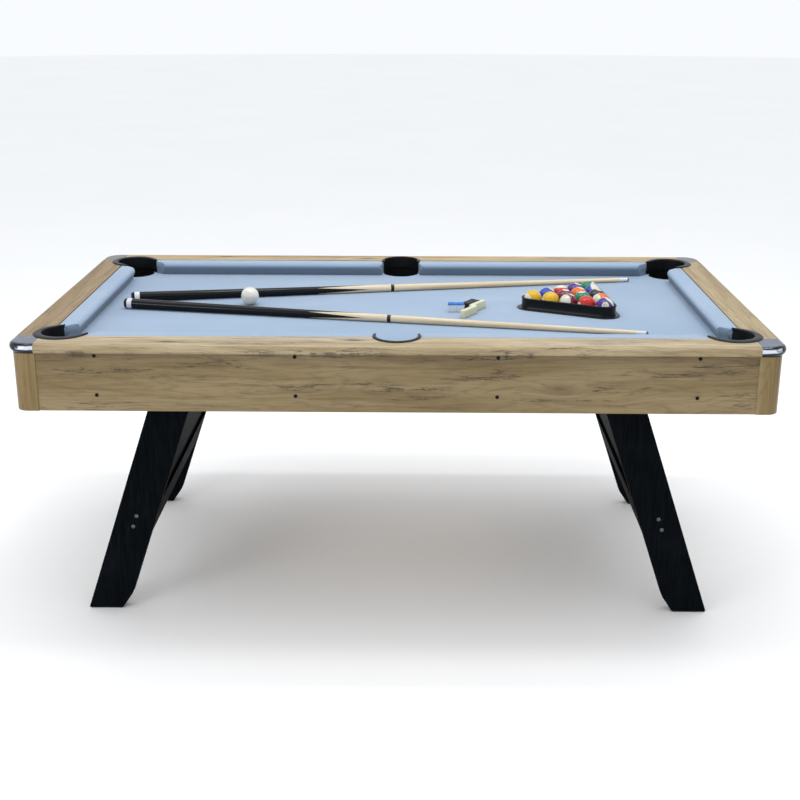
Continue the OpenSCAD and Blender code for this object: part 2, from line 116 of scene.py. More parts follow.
def add_loft(bm, rings, closed=False, pick=None):
    """Skins rings of equal length, closes both ends unless the loft itself closes.
    pick(ring number) gives the material slot of the band that starts there."""
    rows = [[bm.verts.new(point) for point in ring] for ring in rings]
    count = len(rows)
    for i in range(count if closed else count - 1):
        low, high = rows[i], rows[(i + 1) % count]
        for j in range(len(low)):
            k = (j + 1) % len(low)
            face = bm.faces.new((low[j], low[k], high[k], high[j]))
            face.material_index = pick(i) if pick else 0
    if not closed:
        for row, band in ((rows[0], 0), (rows[-1], count - 2)):
            centre = bm.verts.new(sum((v.co for v in row), Vector()) / len(row))
            for j in range(len(row)):
                face = bm.faces.new((row[j], row[(j + 1) % len(row)], centre))
                face.material_index = pick(band) if pick else 0


def lofted(name, rings, materials, closed=False, pick=None, sharp=38):
    bm = bmesh.new()
    add_loft(bm, rings, closed, pick)
    return finish_mesh(bm, name, materials, sharp)


def turned_rings(stations, segments):
    """Rings round local X from (x, radius) stations."""
    return [[Vector((x, r * math.cos(a), r * math.sin(a))) for a in turns(segments)] for x, r in stations]


def inset_outline(outline, distance):
    """Moves every point of a closed outline inwards by distance."""
    moved = []
    count = len(outline)
    area = sum(
        outline[i][0] * outline[(i + 1) % count][1] - outline[(i + 1) % count][0] * outline[i][1]
        for i in range(count)
    )
    side = 1 if area > 0 else -1
    for i in range(count):
        here = Vector(outline[i])
        before = (here - Vector(outline[i - 1])).normalized()
        after = (Vector(outline[(i + 1) % count]) - here).normalized()
        tangent = (before + after).normalized()
        moved.append(here + side * distance * Vector((-tangent.y, tangent.x)))
    return moved


def arc(centre, radius, start, end, steps):
    """Points on an arc, angles in degrees."""
    return [
        (centre[0] + radius * math.cos(math.radians(a)), centre[1] + radius * math.sin(math.radians(a)))
        for a in (start + (end - start) * k / steps for k in range(steps + 1))
    ]


# ---- material tools


class Shader:
    """A node material. Its methods add nodes and return the socket that they end in."""

    def __init__(self, name):
        self.material = bpy.data.materials.new(name)
        self.material.use_nodes = True
        self.nodes = self.material.node_tree.nodes
        self.links = self.material.node_tree.links
        self.bsdf = self.nodes["Principled BSDF"]
        self.coords = self.nodes.new("ShaderNodeTexCoord").outputs["Object"]

    def feed(self, socket, value):
        if isinstance(value, bpy.types.NodeSocket):
            self.links.new(value, socket)
        elif isinstance(value, tuple) and len(value) == 3 and len(socket.default_value) == 4:
            socket.default_value = (*value, 1)
        else:
            socket.default_value = value

    def add(self, kind, *values, **named):
        """Adds a node and feeds its first sockets, and others by name."""
        node = self.nodes.new("ShaderNode" + kind)
        for socket, value in zip(node.inputs, values):
            self.feed(socket, value)
        for name, value in named.items():
            self.feed(node.inputs[name], value)
        return node

    def math(self, operation, *values):
        node = self.add("Math", *values)
        node.operation = operation
        return node.outputs[0]

    def times(self, first, second):
        return self.math("MULTIPLY", first, second)

    def apart(self, first, second):
        """Distance between two values."""
        return self.math("ABSOLUTE", self.math("SUBTRACT", first, second))

    def stray(self, value, noise, reach):
        """The value moved both ways by a noise."""
        return self.math("MULTIPLY_ADD", self.math("SUBTRACT", noise, 0.5), reach, value)

    def split(self, vector):
        return self.add("SeparateXYZ", vector).outputs[:3]

    def join(self, x, y, z):
        return self.add("CombineXYZ", x, y, z).outputs[0]

    def stretch(self, vector, scale, shift=(0, 0, 0)):
        return self.add("Mapping", vector, Location=shift, Scale=scale).outputs[0]

    def noise(self, vector=None, scale=1.0, detail=4.0, roughness=0.55):
        return self.add("TexNoise", vector or self.coords, Scale=scale, Detail=detail,
                        Roughness=roughness).outputs[0]

    def fibre(self, scale, shift=(0, 0, 0), vector=None, **settings):
        """Noise drawn out by a different scale along each axis."""
        return self.noise(self.stretch(vector or self.coords, scale, shift), **settings)

    def cells(self, vector, output="Distance"):
        return self.add("TexVoronoi", vector, Scale=1.0).outputs[output]

    def smooth(self, value, low, high, out_low=0.0, out_high=1.0):
        """Smooth step between two values: low and high may fall instead of rise."""
        node = self.add("MapRange", value, low, high, out_low, out_high)
        node.interpolation_type = "SMOOTHSTEP"
        return node.outputs[0]

    def mix(self, share, first, second, blend="MIX"):
        node = self.nodes.new("ShaderNodeMix")
        node.data_type = "RGBA"
        node.blend_type = blend
        for place, value in ((0, share), (6, first), (7, second)):
            self.feed(node.inputs[place], value)
        return node.outputs[2]

    def rough(self, noise, low, high):
        """Roughness that drifts with a noise."""
        return self.smooth(noise, 0.3, 0.7, low, high)

    def drift(self, noise, first, second):
        """Colour that drifts with a noise."""
        return self.mix(self.smooth(noise, 0.35, 0.7), first, second)

    def paint(self, base, *layers):
        """Lays each (mask, colour) over the base in turn."""
        for mask, colour in layers:
            base = self.mix(mask, base, colour)
        return base

    def bump(self, height, depth, strength):
        return self.add("Bump", Strength=strength, Distance=depth, Height=height).outputs[0]

    def surface(self, **values):
        """Feeds the shader's sockets, named with _ for a space, and returns the material."""
        for name, value in values.items():
            self.feed(self.bsdf.inputs[name.replace("_", " ").title().replace("Ior", "IOR")], value)
        return self.material


# ---- materials


def oak_laminate(name, along, fold, light_and_shade_tint=(1.0, 1.0, 1.0), plain=0.0, shaded_from=None):
    """Printed rustic oak. The grain runs along one axis, and the pattern wraps over the edge
    from a level face to an upright one: fold is the sign of the face's inner side. From the
    level shaded_from upwards the colour darkens as painted shade under the rail's overhang."""
    s = Shader(name)
    x, y, z = s.split(s.coords)
    run, level, upright = {"x": (x, y, z), "y": (y, x, z), "z": (z, y, x)}[along]
    across = s.math("MULTIPLY_ADD", level, fold, upright)
    flat = s.join(run, across, 0.0)
    wander = s.fibre((2.2, 6.0, 1), vector=flat, detail=2)
    across = s.stray(across, wander, 0.035)
    flat = s.join(run, across, 0.0)

    # knots pull the grain round them
    knot_cells = s.stretch(flat, (4.2, 15.0, 1), (3.1, 1.7, 0))
    knot = s.cells(knot_cells)
    chosen = s.smooth(s.split(s.cells(knot_cells, output="Color"))[0], 0.55, 0.6)
    pull = s.times(s.smooth(knot, 0.42, 0.0), s.times(chosen, 0.018))
    grain = s.join(run, s.math("ADD", across, pull), 0.0)

    broad = s.fibre((1.3, 14.0, 1), vector=grain, detail=3, roughness=0.55)
    rings = s.fibre((0.9, 10.0, 1), (5, 2, 0), vector=grain, detail=2.5, roughness=0.5)
    rings = s.math("FRACT", s.times(rings, 24.0))
    rings = s.smooth(s.apart(rings, 0.5), 0.26, 0.5)
    streak = s.fibre((3.4, 78.0, 1), vector=grain, detail=6, roughness=0.72)
    pores = s.fibre((22.0, 330.0, 1), vector=grain, detail=4, roughness=0.7)
    stain = s.fibre((2.1, 19.0, 1), (1.3, 8.8, 0), vector=grain, detail=5, roughness=0.66)
    split = s.fibre((2.6, 26.0, 1), (7.7, 3.1, 0), vector=grain, detail=6, roughness=0.66)
    split = s.smooth(s.apart(split, 0.5), 0.020, 0.004)

    light = (0.440, 0.338, 0.182)
    mid = (0.322, 0.232, 0.108)
    brown = (0.128, 0.082, 0.036)
    grey = (0.105, 0.078, 0.064)
    figured = 1 - plain
    stained = s.times(s.smooth(stain, 0.54, 0.70), s.smooth(streak, 0.36, 0.60, 0.35, 1.0))
    cracked = s.times(split, s.smooth(stain, 0.47, 0.60))
    halo = s.times(s.smooth(knot, 0.30, 0.06), chosen)
    heart = s.times(s.smooth(knot, 0.13, 0.04), chosen)
    colour = s.paint(
        light,
        (s.smooth(broad, 0.36, 0.62), mid),
        (s.times(rings, 0.20), brown),
        (s.smooth(streak, 0.50, 0.72, 0.0, 0.62), brown),
        (s.smooth(streak, 0.46, 0.28, 0.0, 0.55), (0.520, 0.425, 0.270)),
        (s.times(stained, 0.70 - 0.5 * plain), grey),
        (s.smooth(pores, 0.54, 0.72, 0.0, 0.55), brown),
        (s.times(cracked, 0.75 * figured), (0.050, 0.035, 0.032)),
        (s.times(halo, 0.50 * figured), (0.120, 0.078, 0.040)),
        (s.times(heart, 0.9 * figured), (0.022, 0.015, 0.012)),
    )
    # painted light and shade: each part's copy of the print is multiplied by its own tint
    colour = s.mix(1.0, colour, light_and_shade_tint, blend="MULTIPLY")
    # painted shade: the upright face darkens towards the rail above it, with a ragged edge from the streaks
    if shaded_from:
        rail_overhang_shade = s.smooth(s.math("MULTIPLY_ADD", streak, 0.020, z), shaded_from, shaded_from + 0.045)
        colour = s.mix(s.times(rail_overhang_shade, 0.75), colour, (0.60, 0.58, 0.60), blend="MULTIPLY")

    relief = s.math("ADD", s.times(pores, 0.6), s.times(streak, 0.4))
    return s.surface(
        base_color=colour,
        roughness=s.smooth(streak, 0.3, 0.75, 0.34, 0.52),
        normal=s.bump(relief, 0.00025, 0.55),
        specular_ior_level=0.25,
    )


def raw_board(name):
    """Bare particle board: pale flakes of several tones."""
    s = Shader(name)
    flakes = s.split(s.cells(s.stretch(s.coords, (230, 230, 420)), output="Color"))[0]
    fine = s.noise(scale=900, detail=3)
    broad = s.noise(scale=6, detail=3)
    colour = s.paint(
        (0.46, 0.33, 0.19),
        (flakes, (0.66, 0.52, 0.34)),
        (s.smooth(fine, 0.45, 0.75, 0.0, 0.5), (0.33, 0.22, 0.12)),
        (s.smooth(broad, 0.4, 0.7, 0.0, 0.25), (0.52, 0.42, 0.30)),
    )
    return s.surface(
        base_color=colour,
        roughness=s.rough(fine, 0.7, 0.9),
        normal=s.bump(s.math("ADD", flakes, fine), 0.0004, 0.5),
        specular_ior_level=0.25,
    )


def table_cloth(name, shade_below=None):
    """Woven nylon and wool cloth with a short nap. shade_below is the level under which the
    cloth of a cushion gets painted shade, darker down to the bed."""
    s = Shader(name)
    x, y, z = s.split(s.coords)
    thread = 2 * math.pi / 0.0011
    warp = s.math("SINE", s.times(s.math("ADD", x, z), thread))
    weft = s.math("SINE", s.times(s.math("ADD", y, z), thread))
    weave = s.times(warp, weft)
    nap = s.noise(scale=1500, detail=3, roughness=0.7)
    fluff = s.noise(scale=260, detail=4, roughness=0.6)
    wear = s.fibre((2.0, 3.4, 3.4), detail=4, roughness=0.55)
    colour = s.paint(
        (0.246, 0.322, 0.424),
        (s.smooth(wear, 0.35, 0.68), (0.276, 0.352, 0.455)),
        (s.smooth(fluff, 0.42, 0.72, 0.0, 0.22), (0.215, 0.285, 0.385)),
        (s.smooth(nap, 0.45, 0.75, 0.0, 0.18), (0.340, 0.420, 0.520)),
    )
    if shade_below:
        # painted shade: the cushion's face darkens from under the nose down to the bed
        nose_shade = s.smooth(z, shade_below, shade_below - 0.016)
        colour = s.mix(s.times(nose_shade, 0.70), colour, (0.080, 0.112, 0.155))
    height = s.math("ADD", s.times(weave, 0.25), nap)
    return s.surface(
        base_color=colour,
        roughness=s.rough(fluff, 0.86, 0.97),
        normal=s.bump(height, 0.00035, 0.45),
        sheen_weight=0.10,
        sheen_roughness=0.45,
        specular_ior_level=0.10,
    )


def black_laminate(name):
    """Near-black woodgrain foil with a faint brushed grain and dust."""
    s = Shader(name)
    grain = s.fibre((260, 260, 14), detail=4, roughness=0.6)
    blotch = s.noise(scale=9, detail=3)
    colour = s.mix(s.smooth(grain, 0.35, 0.75), (0.0026, 0.0034, 0.0044), (0.0060, 0.0074, 0.0090))
    colour = s.mix(s.smooth(blotch, 0.45, 0.75, 0.0, 0.4), colour, (0.0080, 0.0098, 0.0120))
    return s.surface(
        base_color=colour,
        roughness=s.rough(grain, 0.42, 0.56),
        normal=s.bump(grain, 0.0002, 0.5),
        ior=1.03,
        specular_ior_level=0.5,
    )


def moulded_plastic(name, dark, light, rough=(0.38, 0.52), grain_scale=1400, specular=0.45):
    """Moulded plastic with a fine leathery texture and slight colour drift."""
    s = Shader(name)
    texture = s.noise(scale=grain_scale, detail=3, roughness=0.6)
    drift = s.noise(scale=26, detail=3)
    colour = s.drift(drift, dark, light)
    return s.surface(
        base_color=colour,
        roughness=s.rough(texture, *rough),
        normal=s.bump(texture, 0.00012, 0.5),
        specular_ior_level=specular,
    )


def chrome(name, top_dark, top_light):
    """Plated casting with its reflections painted into its colour: a slate reflection on its flat
    top, a dark reflection on the turn of the edge, a glint below it and dark where it faces down,
    with hairline wiping marks."""
    s = Shader(name)
    wiping = s.fibre((900, 160, 160), detail=3, roughness=0.6)
    cloud = s.noise(scale=48, detail=4, roughness=0.6)
    side, _, facing_up = s.split(s.nodes.new("ShaderNodeTexCoord").outputs["Normal"])
    facing_up = s.stray(facing_up, cloud, 0.35)
    # painted reflection: slate on the flat top, a dark band where the edge turns, a glint on the
    # front-facing turn and dark where it faces down
    slate_reflection = s.drift(cloud, top_dark, top_light)
    dark_edge_reflection = s.mix(s.smooth(facing_up, 0.97, 0.86), slate_reflection, (0.022, 0.026, 0.034))
    sideways = s.stray(s.math("ABSOLUTE", side), cloud, 1.1)
    glint = s.times(s.smooth(facing_up, 0.70, 0.45), s.smooth(sideways, 0.62, 0.30))
    with_glint = s.mix(glint, dark_edge_reflection, (0.80, 0.82, 0.88))
    return s.surface(
        base_color=s.mix(s.smooth(facing_up, 0.06, -0.22), with_glint, (0.030, 0.036, 0.055)),
        metallic=1.0,
        roughness=s.smooth(wiping, 0.3, 0.75, 0.08, 0.18),
        normal=s.bump(wiping, 0.00002, 0.4),
    )


def metal(name, dark, light, rough=(0.30, 0.45)):
    s = Shader(name)
    marks = s.fibre((700, 700, 220), detail=4, roughness=0.6)
    spots = s.noise(scale=120, detail=3)
    colour = s.mix(s.smooth(spots, 0.4, 0.7), dark, light)
    return s.surface(
        base_color=colour,
        metallic=1.0,
        roughness=s.rough(marks, *rough),
        normal=s.bump(marks, 0.00008, 0.4),
    )


def maple(name, splice=None):
    """Lacquered maple along local X. splice = (start, end) turns the wood before it into
    black lacquer, with long points round the shaft."""
    s = Shader(name)
    x, y, z = s.split(s.coords)
    grain = s.fibre((9, 420, 420), detail=4, roughness=0.6)
    broad = s.fibre((3, 60, 60), detail=2)
    pores = s.fibre((60, 1800, 1800), detail=2)
    colour = s.paint(
        (0.640, 0.560, 0.420),
        (s.smooth(broad, 0.35, 0.7), (0.560, 0.460, 0.310)),
        (s.smooth(grain, 0.46, 0.76, 0.0, 0.45), (0.330, 0.225, 0.115)),
        (s.smooth(pores, 0.56, 0.75, 0.0, 0.3), (0.23, 0.15, 0.08)),
    )
    if splice:
        points = 4
        turn = s.math("DIVIDE", s.math("ARCTAN2", z, y), 2 * math.pi / points)
        saw = s.times(s.apart(s.math("FRACT", turn), 0.5), 2)
        edge = s.math("MULTIPLY_ADD", saw, splice[1] - splice[0], splice[0])
        past = s.math("SUBTRACT", x, edge)
        black = s.smooth(past, 0.0008, -0.0008)
        line = s.smooth(s.apart(past, 0.012), 0.0030, 0.0018)
        colour = s.mix(s.times(line, 0.85), colour, (0.10, 0.045, 0.02))
        colour = s.mix(black, colour, (0.0022, 0.0026, 0.0040))
    return s.surface(
        base_color=colour,
        roughness=s.rough(grain, 0.20, 0.30),
        normal=s.bump(grain, 0.00005, 0.4),
        coat_weight=0.22,
        coat_roughness=0.05,
        specular_ior_level=0.10,
    )


def lacquer(name, colour):
    s = Shader(name)
    cloud = s.noise(scale=60, detail=3)
    peel = s.noise(scale=700, detail=2)
    return s.surface(
        base_color=s.mix(s.smooth(cloud, 0.35, 0.7, 0.0, 0.25), colour, tuple(c * 0.72 for c in colour)),
        roughness=s.rough(peel, 0.16, 0.26),
        normal=s.bump(peel, 0.00003, 0.4),
        coat_weight=0.25,
        coat_roughness=0.06,
        specular_ior_level=0.2,
    )


def resin(name, colour, stripe):
    """Cast phenolic ball: a solid colour, or a band of it round an ivory ball, with ivory
    number discs at both ends of local X. The band lies round local Z."""
    s = Shader(name)
    x, y, z = s.split(s.coords)
    radius = size("cue_ball").x / 2
    ivory = s.drift(s.noise(scale=90, detail=3), (0.50, 0.485, 0.42), (0.55, 0.535, 0.47))
    cloud = s.noise(scale=70, detail=3)
    body = s.mix(s.smooth(cloud, 0.35, 0.7, 0.0, 0.3), colour, tuple(c * 0.75 for c in colour))
    if stripe:
        body = s.mix(s.smooth(s.math("ABSOLUTE", z), radius * 0.58, radius * 0.60), body, ivory)
    disc = s.smooth(s.math("ABSOLUTE", x), radius * 0.918, radius * 0.926)
    return s.surface(
        base_color=s.mix(disc, body, ivory),
        roughness=s.rough(s.noise(scale=400, detail=2), 0.07, 0.13),
        coat_weight=0.60,
        coat_roughness=0.03,
        specular_ior_level=0.10,
    )


def ivory_resin(name):
    s = Shader(name)
    cloud = s.noise(scale=60, detail=3)
    scuff = s.fibre((500, 140, 140), detail=3)
    return s.surface(
        base_color=s.drift(cloud, (0.54, 0.535, 0.49), (0.60, 0.595, 0.55)),
        roughness=s.rough(scuff, 0.08, 0.16),
        coat_weight=0.6,
        coat_roughness=0.03,
    )


def clear_plastic(name):
    s = Shader(name)
    haze = s.noise(scale=120, detail=3)
    return s.surface(
        base_color=s.drift(haze, (0.80, 0.87, 0.95), (0.90, 0.94, 0.98)),
        roughness=s.rough(haze, 0.05, 0.12),
        alpha=0.22,
        specular_ior_level=0.6,
    )


def chalk_block(name, low, high):
    """Blue chalk whose sides are wrapped in pale paper up to a few millimetres of the top."""
    s = Shader(name)
    x, y, z = s.split(s.coords)
    grit = s.noise(scale=1100, detail=4, roughness=0.7)
    smear = s.noise(scale=160, detail=3)
    blue = s.mix(s.smooth(grit, 0.4, 0.7), (0.016, 0.110, 0.400), (0.050, 0.210, 0.560))
    paper = s.mix(s.smooth(smear, 0.45, 0.7, 0.0, 0.5), (0.50, 0.55, 0.62), (0.36, 0.43, 0.54))
    edge = s.stray(low + 0.78 * (high - low), smear, 0.002)
    above = s.smooth(s.math("SUBTRACT", z, edge), -0.0003, 0.0003)
    return s.surface(
        base_color=s.mix(above, paper, blue),
        roughness=s.rough(grit, 0.75, 0.95),
        normal=s.bump(grit, 0.0004, 0.5),
        specular_ior_level=0.2,
    )


def bristle(name):
    s = Shader(name)
    strands = s.fibre((1400, 60, 1400), detail=3)
    return s.surface(
        base_color=s.drift(strands, (0.006, 0.006, 0.007), (0.030, 0.030, 0.032)),
        roughness=s.rough(strands, 0.45, 0.7),
        normal=s.bump(strands, 0.0004, 0.7),
    )


def floor_paint(name):
    s = Shader(name)
    grain = s.noise(scale=40, detail=4)
    broad = s.noise(scale=0.7, detail=3)
    return s.surface(
        base_color=s.mix(s.smooth(broad, 0.3, 0.7), (0.925, 0.928, 0.93), (0.94, 0.942, 0.944)),
        roughness=s.rough(grain, 0.8, 0.9),
        specular_ior_level=0.1,
    )


CLOTH = table_cloth("bed_felt_weave")
# the cushion cloth gets painted shade on its face below the nose
CUSHION_CLOTH = table_cloth("cushion_felt_weave", shade_below=CLOTH_Z + 0.0330)
RAW = raw_board("particle_board")
BLACK_WOOD = black_laminate("black_woodgrain")
POCKET = moulded_plastic("pocket_black", (0.0050, 0.0056, 0.0062), (0.0075, 0.0082, 0.0090),
                         specular=0.12)
RIM = moulded_plastic("pocket_rim_charcoal", (0.0060, 0.0078, 0.0115), (0.0100, 0.0125, 0.0175),
                      rough=(0.30, 0.44), specular=0.14)
RUBBER = moulded_plastic("rubber", (0.014, 0.014, 0.015), (0.024, 0.024, 0.025), rough=(0.6, 0.8))
RACK_PLASTIC = moulded_plastic("rack_black", (0.0030, 0.0036, 0.0046), (0.0055, 0.0062, 0.0075),
                               rough=(0.22, 0.34), specular=0.16)
CREAM = moulded_plastic("brush_cream", (0.50, 0.50, 0.34), (0.57, 0.57, 0.40), rough=(0.35, 0.5))
BRISTLE = bristle("bristle_black")
CHROME = chrome("chrome_plate", (0.078, 0.098, 0.148), (0.120, 0.148, 0.205))
# darker copy of the plate for the back caps: painted reflection of a dark surround
CHROME_SHADED = chrome("chrome_plate_shaded", (0.012, 0.010, 0.008), (0.038, 0.032, 0.026))
BLACK_STEEL = metal("blackened_steel", (0.010, 0.010, 0.012), (0.022, 0.022, 0.025))
ZINC = metal("zinc_steel", (0.085, 0.088, 0.095), (0.150, 0.155, 0.165))
INK = lacquer("number_ink", (0.010, 0.010, 0.012))
CLEAR_CASE = clear_plastic("clear_case")


# ---- CAD nodes that stay


def dress(node, material, bevel=0.0):
    """Gives a CAD node its material, and a fine bevel where its edges are square."""
    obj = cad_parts[node]
    obj.data.materials.clear()
    obj.data.materials.append(material)
    if bevel:
        weld = obj.modifiers.new("weld", "WELD")
        weld.merge_threshold = 0.00002
        edge = obj.modifiers.new("edge", "BEVEL")
        edge.width = bevel
        edge.segments = 2
        edge.limit_method = "ANGLE"
        edge.angle_limit = math.radians(50)
        edge.harden_normals = False


# Tints of the one oak print for each part, painted light and shade: the upright aprons and posts are
# darkened as painted shade, and each rail is lightened or darkened by its side as painted light
APRON_SHADE_TINT = (0.62, 0.61, 0.59)
POST_SHADE_TINT = (0.64, 0.62, 0.54)
RAIL_LIGHT_TINTS = {
    "front": (0.94, 0.99, 1.13), "back": (0.95, 0.90, 0.82),
    "left": (0.53, 0.46, 0.37), "right": (0.72, 0.71, 0.67),
}


def dress_cabinet():
    sides = {"front": 1, "back": -1, "left": 1, "right": -1}
    for side, fold in sides.items():
        along = "x" if side in ("front", "back") else "y"
        dress(f"rail_{side}", oak_laminate(f"oak_rail_{side}", along, fold, RAIL_LIGHT_TINTS[side]))
        apron = oak_laminate(f"oak_apron_{side}", along, fold, APRON_SHADE_TINT, shaded_from=RAIL_Z - 0.060)
        dress(f"apron_{side}", apron)
    # the back caps take the darker plate as painted reflection
    for ends, fold, plate in (("front", 1, CHROME), ("back", -1, CHROME_SHADED)):
        post = oak_laminate(f"oak_post_{ends}", "z", fold, POST_SHADE_TINT, plain=0.8)
        for side in ("left", "right"):
            dress(f"corner_post_{ends}_{side}", post)
            dress(f"corner_cap_{ends}_{side}", plate)


def dress_structure():
    for node in ("bed_board", "cross_beams", "bearer_ribs", "leg_bearer_left", "leg_bearer_right"):
        dress(node, RAW, bevel=0.0006)
    for side in ("left", "right"):
        dress(f"leg_panel_{side}", BLACK_WOOD, bevel=0.0008)
        dress(f"stretcher_{side}", BLACK_WOOD, bevel=0.0012)
        for ends in ("front", "back"):
            dress(f"leg_{ends}_{side}", BLACK_WOOD, bevel=0.0012)
    for place in PLACES:
        dress(f"pocket_cup_{place}", POCKET)
    dress("leg_brackets", ZINC, bevel=0.0005)
    dress("bracket_screws", ZINC)
    dress("foot_pads", RUBBER, bevel=0.0008)


# ---- bed cloth

HOLE_GAP = 0.0035
SIDE_POCKET_R = 0.0515
CORNER_POCKET_R = 0.053


def pocket_radius(place):
    """Inner half width of a pocket."""
    return SIDE_POCKET_R if place.endswith("side") else CORNER_POCKET_R


def bed_felt():
    """The stretched cloth on the bed board, cut out round the pockets and the corner posts."""
    low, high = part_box("bed_cloth")
    thick = high.z - low.z
    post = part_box("corner_post_back_right")[0]
    curve = bpy.data.curves.new("bed_felt", "CURVE")
    curve.dimensions = "2D"
    curve.fill_mode = "BOTH"
    curve.bevel_depth = thick * 0.3
    curve.offset = -thick * 0.3
    curve.extrude = thick * 0.2
    curve.bevel_resolution = 1
    quarter = [(high.x, 0.0), (high.x, post.y), (post.x, post.y), (post.x, high.y), (0.0, high.y)]
    outline = quarter + [(-x, y) for x, y in quarter[-2::-1]]
    outline += [(x, -y) for x, y in outline[-2:0:-1]]
    loops = [outline]
    for place in PLACES:
        centre = middle(f"pocket_cup_{place}")
        loops.append(arc(centre, pocket_radius(place) + HOLE_GAP, 0, 360 - 5, 71))
    for loop in loops:
        spline = curve.splines.new("POLY")
        spline.points.add(len(loop) - 1)
        for point, (x, y) in zip(spline.points, loop):
            point.co = (x, y, 0, 1)
        spline.use_cyclic_u = True
    bm = bmesh.new()
    bm.from_mesh(mesh_of(curve))
    bmesh.ops.remove_doubles(bm, verts=bm.verts, dist=0.00002)
    bmesh.ops.translate(bm, verts=bm.verts, vec=(0, 0, (low.z + high.z) / 2))
    felt = finish_mesh(bm, "bed_felt", CLOTH, sharp=60)
    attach(felt, "table")
    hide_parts("bed_cloth")


# ---- cushions


def cushion_section():
    """Closed outline (depth from the wood, height over the cloth): tucked in at the wood,
    a slightly crowned top, a round nose, and a hollow face down to the bed."""
    top = RAIL_Z - CLOTH_Z
    nose_r = 0.0105
    nose = arc((CUSHION_W - nose_r, top - 0.0004 - nose_r), nose_r, 86, -6, 12)
    hollow = [
        (CUSHION_W - 0.0004 - 0.0092 * t, 0.0240 * (1 - t) + 0.0006 * math.sin(math.pi * t) + CLEAR)
        for t in (0.1, 0.3, 0.5, 0.7, 0.88, 1.0)
    ]
    crown = [(depth, top - 0.0002 - 0.0012 * max(0.0, 1 - depth / 0.012) ** 2)
             for depth in (0.0060, 0.0120, 0.0186, 0.0198, 0.0280, 0.0340)]
    foot = [(0.0198, CLEAR), (0.0186, CLEAR), (0.0006, CLEAR), (0.0004, 0.012), (0.0004, 0.026),
            (0.0004, top - 0.0042), (0.0012, top - 0.0024), (0.0030, top - 0.0012)]
    return nose + hollow + foot + crown


def cushion(node, place, start, end):
    """place(along, depth, height) puts a point, start(depth) and end(depth) are the cut ends."""
    section = cushion_section()
    edge = 0.0028
    steps = 22
    rounding = [math.radians(a) for a in (0, 12, 30, 50, 70, 90)]

    def ring(inset, shift, t):
        points = []
        for (depth, height), (raw_depth, _) in zip(inset_outline(section, inset), section):
            a, b = start(raw_depth) + shift, end(raw_depth) - shift
            points.append(place(a + (b - a) * t, depth, height))
        return points

    def rounded(t, angles):
        return [ring(edge * (1 - math.sin(a)), edge * (1 - math.cos(a)), t) for a in angles]

    between = [ring(0.0, edge, k / steps) for k in range(1, steps)]
    rings = rounded(0, rounding) + between + rounded(1, reversed(rounding))
    made = lofted(f"{node}_padded", rings, CUSHION_CLOTH, sharp=55)
    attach(made, "table")
    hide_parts(node)


def mouth_end(at_wood):
    """Cut at 45 degrees beside a corner pocket, taken back where the liner's wall stands."""
    def cut(depth):
        past_wall = min(1.0, max(0.0, (depth - 0.0187) / 0.0010))
        return at_wood - depth - 0.0003 + 0.0046 * past_wall

    return cut


def long_cushion(place, sx, sy):
    low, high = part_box(f"cushion_{place}")
    inner, outer = sorted((abs(low.x), abs(high.x)))
    splay = 0.0039
    nose = 0.010

    def side_end(depth):
        past_nose = max(0.0, (depth - CUSHION_W + nose) / nose)
        rounding = 0.007 * (1 - math.sqrt(max(0.0, 1 - past_nose ** 2)))
        return inner + CLEAR + splay * depth / CUSHION_W + rounding

    def put(along, depth, height):
        return Vector((sx * along, sy * (WOOD_Y - depth), CLOTH_Z + height))

    cushion(f"cushion_{place}", put, side_end, mouth_end(outer))


def end_cushion(side, sx):
    node = f"cushion_{side}_end"
    cut = mouth_end(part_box(node)[1].y)

    def put(along, depth, height):
        return Vector((sx * (WOOD_X - depth), along, CLOTH_Z + height))

    cushion(node, put, lambda depth: -cut(depth), cut)


def cushions():
    for place, (sx, sy) in PLACES.items():
        if sx:
            long_cushion(place, sx, sy)
    end_cushion("left", -1)
    end_cushion("right", 1)


# ---- pocket liners


def wall_line(r, wall_a):
    """Plan of a liner's wall on the pocket axis: points at half width r with their outward
    directions, from one end at wall_a round the back to the other."""
    if wall_a <= 0:
        reach = math.degrees(math.acos(wall_a / r))
        straight = []
    else:
        reach = 90
        straight = [(wall_a * (1 - k / 8), r) for k in range(8)]
    steps = 44
    line = [(Vector(point), Vector((0, 1))) for point in straight]
    for k in range(steps + 1):
        out = unit(math.radians(reach + (360 - 2 * reach) * k / steps))
        line.append((out * r, out))
    return line + [(Vector((a, -b)), Vector((0, -1))) for a, b in reversed(straight)]


